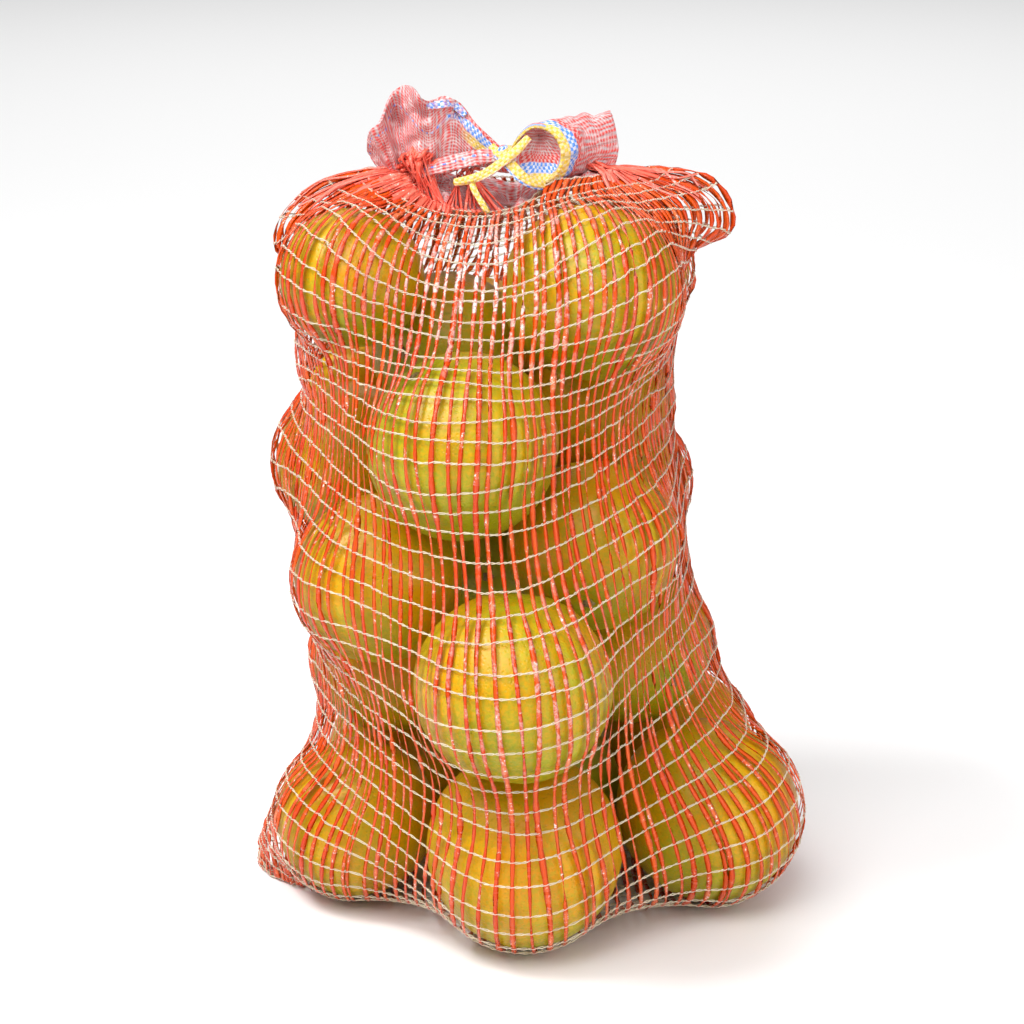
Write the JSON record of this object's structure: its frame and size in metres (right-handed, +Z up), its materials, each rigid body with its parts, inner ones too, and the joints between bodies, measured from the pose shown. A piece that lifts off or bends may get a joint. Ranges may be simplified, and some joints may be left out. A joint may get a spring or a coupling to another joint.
{
  "type": "net of oranges",
  "caption": "Tall red net bag filled with oranges, standing on its seam, its mouth gathered and its two ends tied together in a knot.",
  "frame": {"origin": "middle of the outline, on the surface that the bag stands on", "axes": "+Z up to the tied mouth, -Y towards the viewer, +X to the viewer's right, along the seam under the bag"},
  "size_m": [0.2272, 0.2322, 0.332],
  "materials": {
    "netting": "glossy red flat plastic tapes of a woven net",
    "cross_thread": "cream twisted cross threads of the net",
    "edge_band": "tight yellow, blue and red weave at the mouth",
    "orange_peel": "satin pitted orange peel, partly green",
    "stem_scar": "dry brown-green stem scar"
  },
  "bodies": {
    "root": {"net_of_oranges": "netting"}
  },
  "joints": []
}
